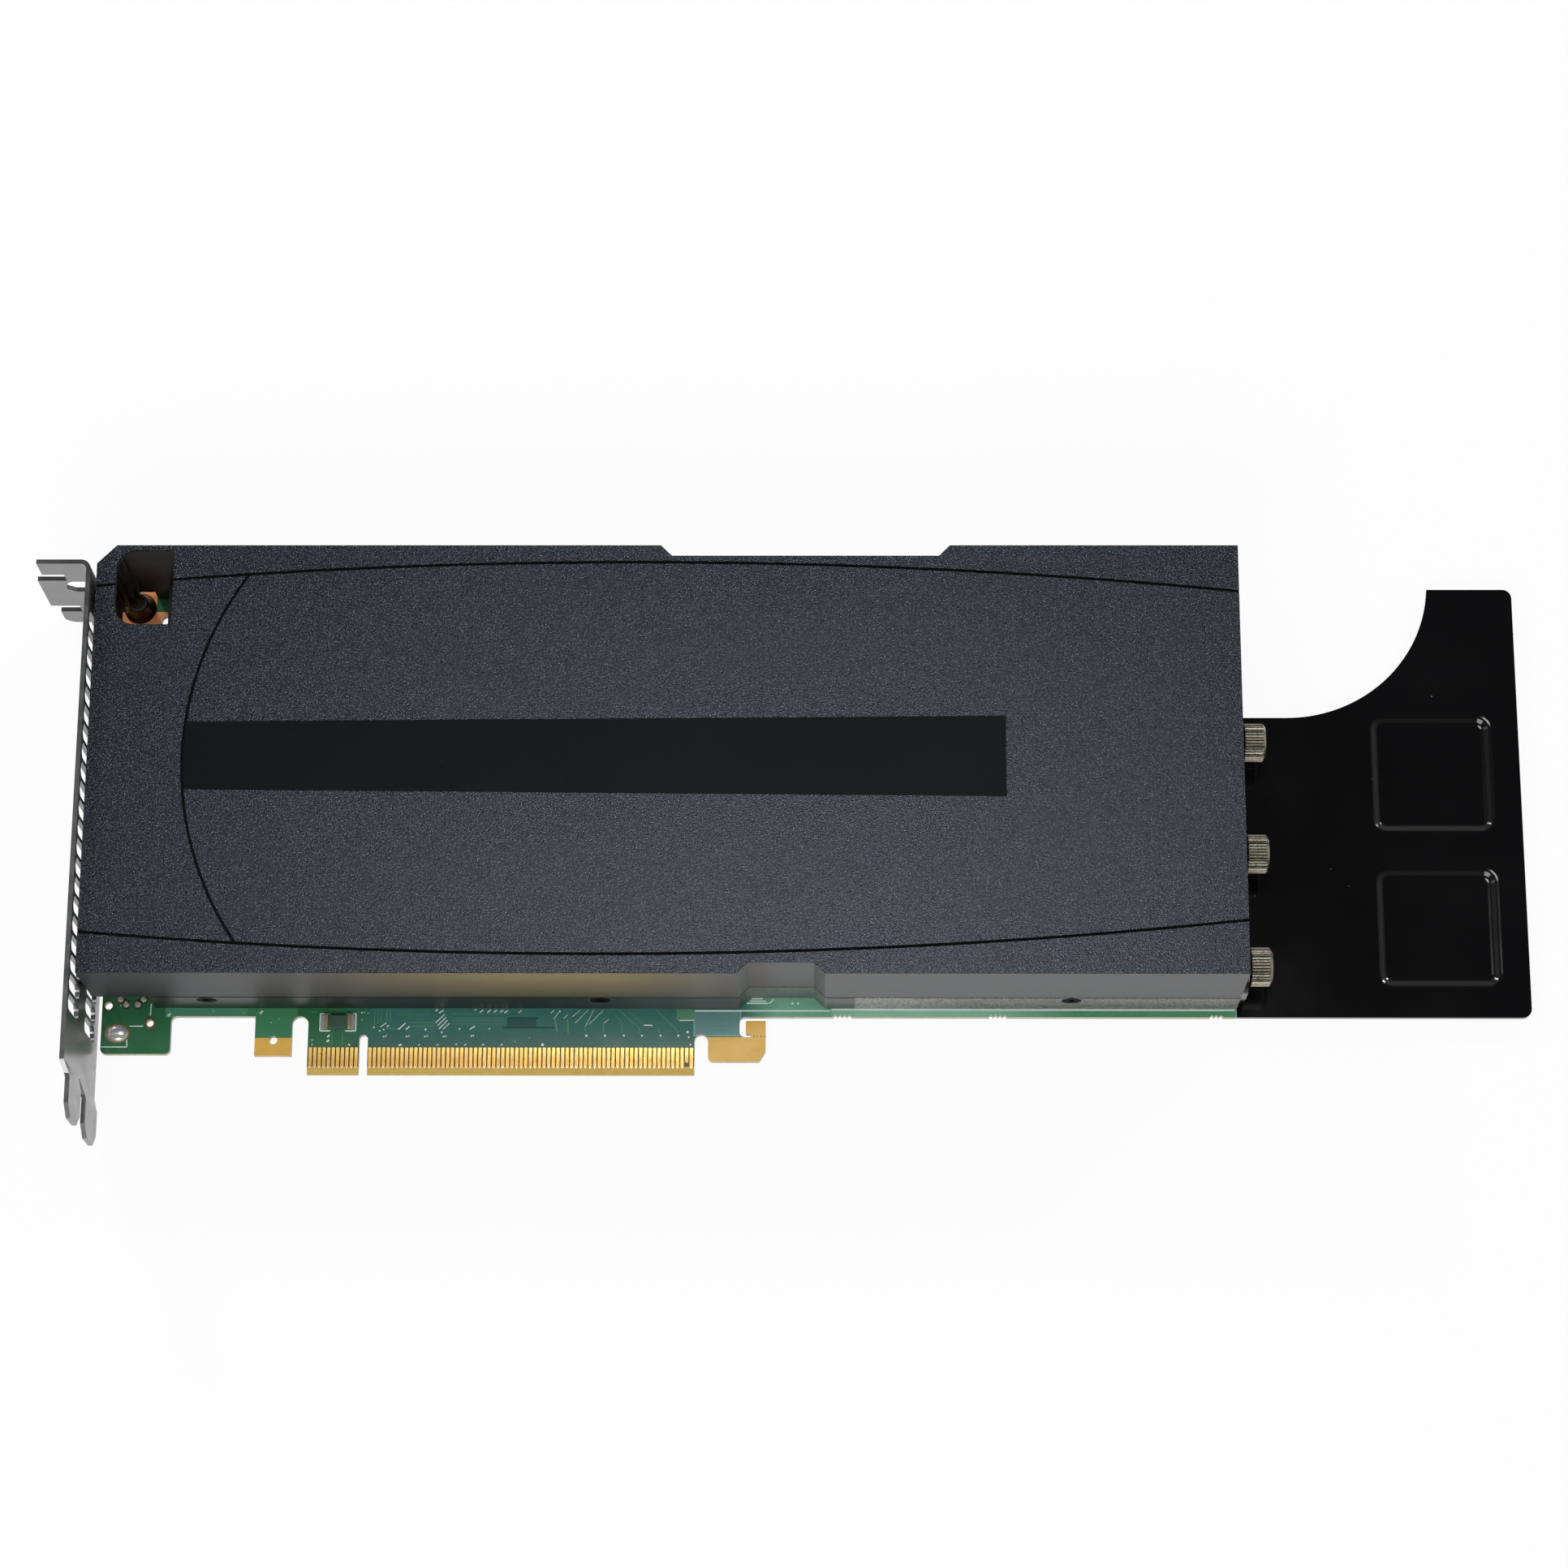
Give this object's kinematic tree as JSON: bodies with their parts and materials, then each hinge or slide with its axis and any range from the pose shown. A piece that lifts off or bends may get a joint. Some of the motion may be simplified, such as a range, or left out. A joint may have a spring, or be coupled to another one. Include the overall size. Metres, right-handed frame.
{
  "type": "passive accelerator card",
  "caption": "Full-height, double-width server accelerator card with no fan, a finned cooler under a closed cover, a vented slot bracket and a card-guide extender.",
  "frame": {"origin": "middle of the edge connector's key notch, on the contact edge, in the board's component surface", "axes": "+X from the slot bracket to the card-guide extender, +Y from the edge contacts to the card's far edge, +Z from the board to the cover"},
  "size_m": [0.3266, 0.1282, 0.0391],
  "materials": {
    "board_laminate": "solder mask over glass-fibre laminate, satin",
    "contact_gold": "gold plated, semi-gloss",
    "solder": "bright solder",
    "resistor_body": "matt resistor coating",
    "post_dark": "turned, dark finish",
    "bracket_steel": "nickel plated steel sheet",
    "screw_steel": "zinc plated",
    "cover_paint": "fine grained dark paint",
    "band_film": "smooth satin film",
    "frame_black": "die cast, dark finish",
    "screw_black": "black oxide",
    "spring_steel": "stainless spring sheet",
    "package_green": "matt laminate",
    "die_silicon": "polished silicon",
    "paste_grey": "grey paste",
    "heatsink_aluminium": "milled",
    "chip_black": "moulded",
    "ferrite": "pressed ferrite",
    "capacitor_can": "drawn can",
    "pad_grey": "soft pad",
    "connector_black": "moulded",
    "extender_paint": "gloss black coat",
    "thumb_nickel": "knurled, warm nickel"
  },
  "bodies": {
    "root": {"circuit_board": "board_laminate", "edge_contacts_front": "contact_gold", "edge_contacts_back": "contact_gold", "solder_joints": "solder", "shunt_resistor": "resistor_body", "shunt_terminals": "solder", "corner_post": "post_dark", "io_bracket": "bracket_steel", "bracket_screws": "screw_steel", "bracket_nuts": "screw_steel", "cover": "cover_paint", "cover_band": "band_film", "base_frame": "frame_black", "cover_screws": "screw_black", "frame_screws": "screw_steel", "retention_plate": "spring_steel", "retention_screws": "screw_steel", "processor_package": "package_green", "processor_die": "die_silicon", "thermal_paste": "paste_grey", "heatsink_base": "heatsink_aluminium", "fin_stack": "heatsink_aluminium", "memory_chips_front": "chip_black", "memory_chips_back": "chip_black", "power_stages": "chip_black", "controller_chips": "chip_black", "inductors": "ferrite", "capacitors": "capacitor_can", "thermal_pads": "pad_grey", "power_connector": "connector_black", "power_pins": "contact_gold", "extender_bracket": "extender_paint", "thumbscrews": "thumb_nickel", "thumbscrew_washers": "screw_steel"}
  },
  "joints": []
}
